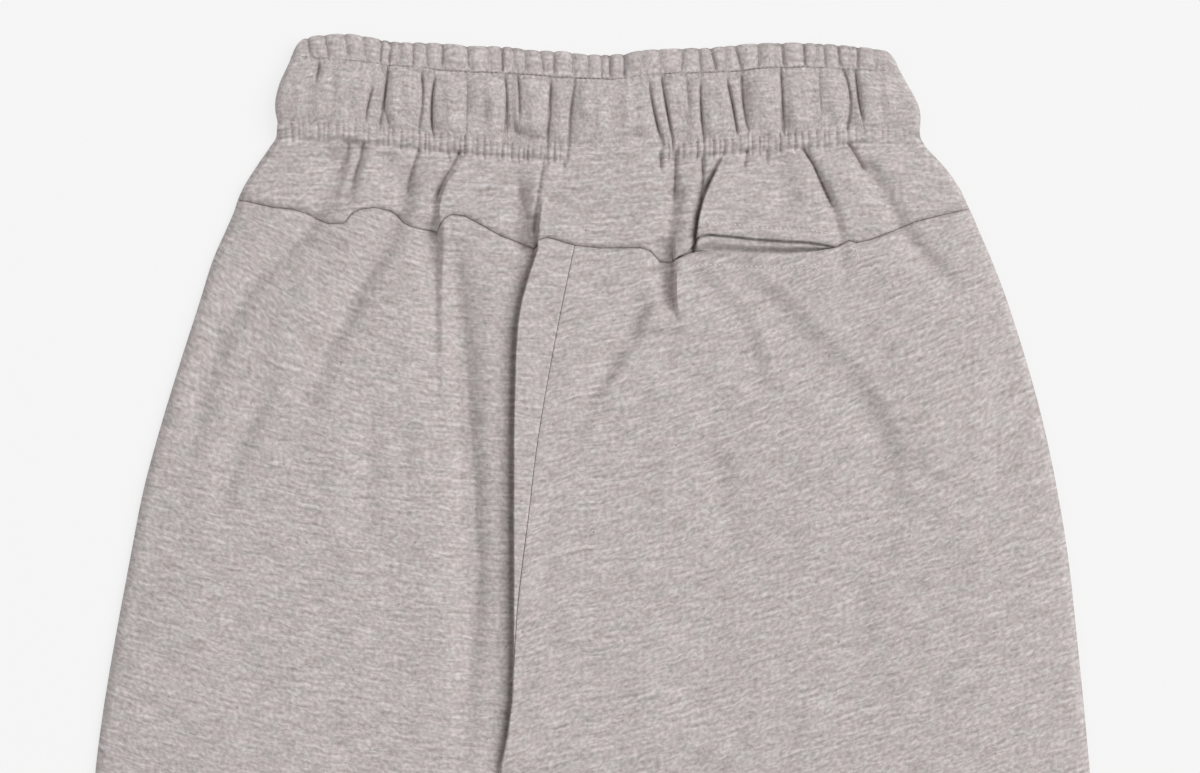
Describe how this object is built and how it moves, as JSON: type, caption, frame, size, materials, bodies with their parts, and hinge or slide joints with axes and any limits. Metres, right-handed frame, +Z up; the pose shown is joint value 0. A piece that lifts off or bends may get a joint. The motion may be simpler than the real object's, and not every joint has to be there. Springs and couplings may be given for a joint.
{
  "type": "jogger sweatpants",
  "caption": "Heather grey fleece jogger sweatpants laid flat with the back up: gathered elastic waist, back yoke with a pocket, ribbed cuffs.",
  "frame": {"origin": "middle of the footprint, on the surface that the sweatpants lie on", "axes": "+Z up, out of the back of the sweatpants; +Y towards the waist; +X to the right of someone looking down on the back"},
  "size_m": [0.524, 1.04, 0.0147],
  "materials": {
    "fleece": "warm grey melange sweatshirt fleece, matt",
    "rib": "warm grey melange rib knit, matt"
  },
  "bodies": {
    "root": {"waistband": "fleece", "back_yoke": "fleece", "back_panel_left": "fleece", "back_panel_right": "fleece", "pocket_facing": "fleece", "front_panel_left": "fleece", "front_panel_right": "fleece", "cuff_left": "rib", "cuff_right": "rib"}
  },
  "joints": []
}
